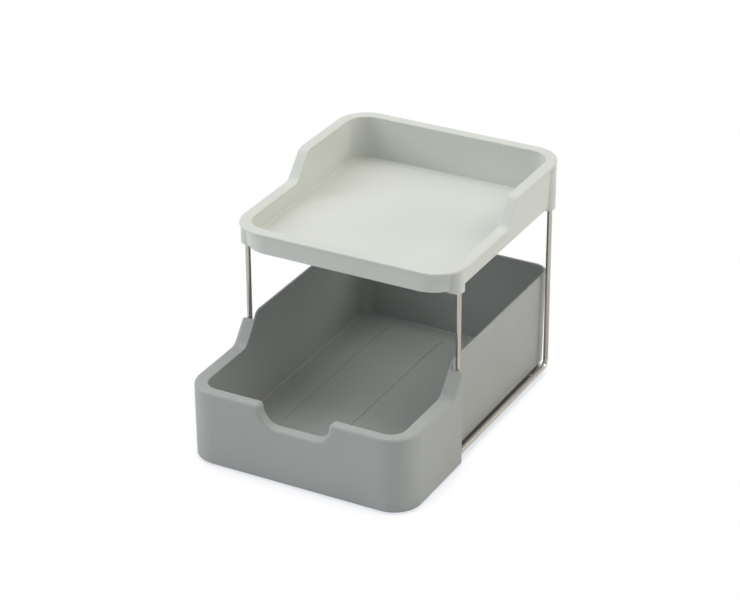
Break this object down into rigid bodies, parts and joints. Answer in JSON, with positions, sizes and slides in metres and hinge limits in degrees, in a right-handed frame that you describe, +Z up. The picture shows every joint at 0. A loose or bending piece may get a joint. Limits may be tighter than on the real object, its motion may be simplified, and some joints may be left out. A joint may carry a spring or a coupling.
{
  "type": "tiered shelf riser",
  "caption": "Tiered kitchen organiser: a shelf tray with a stepped rim stands on wire legs above a pull-out drawer with a finger scoop in its front.",
  "frame": {"origin": "middle of the footprint, on the surface the organiser stands on", "axes": "+Z up, the drawer opens towards -Y, +X to the right as seen from the front"},
  "size_m": [0.1886, 0.2666, 0.1843],
  "materials": {
    "tray_plastic": "light warm grey, fine matte moulding texture",
    "drawer_plastic": "mid warm grey, fine matte moulding texture",
    "wire": "satin, drawn along the wire",
    "foot_pad": "matte"
  },
  "bodies": {
    "frame": {"side_wire_left": "wire", "side_wire_right": "wire", "cross_wire_front": "wire", "cross_wire_rear": "wire", "foot_front_left": "foot_pad", "foot_front_right": "foot_pad", "foot_rear_left": "foot_pad", "foot_rear_right": "foot_pad"},
    "drawer": {"drawer": "drawer_plastic"},
    "tray": {"shelf_tray": "tray_plastic"}
  },
  "joints": [
    {"name": "drawer_slide", "type": "slide", "parent": "frame", "child": "drawer", "axis": [0, -1, 0], "range_m": [0, 0.15]},
    {"name": "tray_lift", "type": "slide", "parent": "frame", "child": "tray", "axis": [0, 0, 1], "range_m": [0, 0.015]}
  ]
}
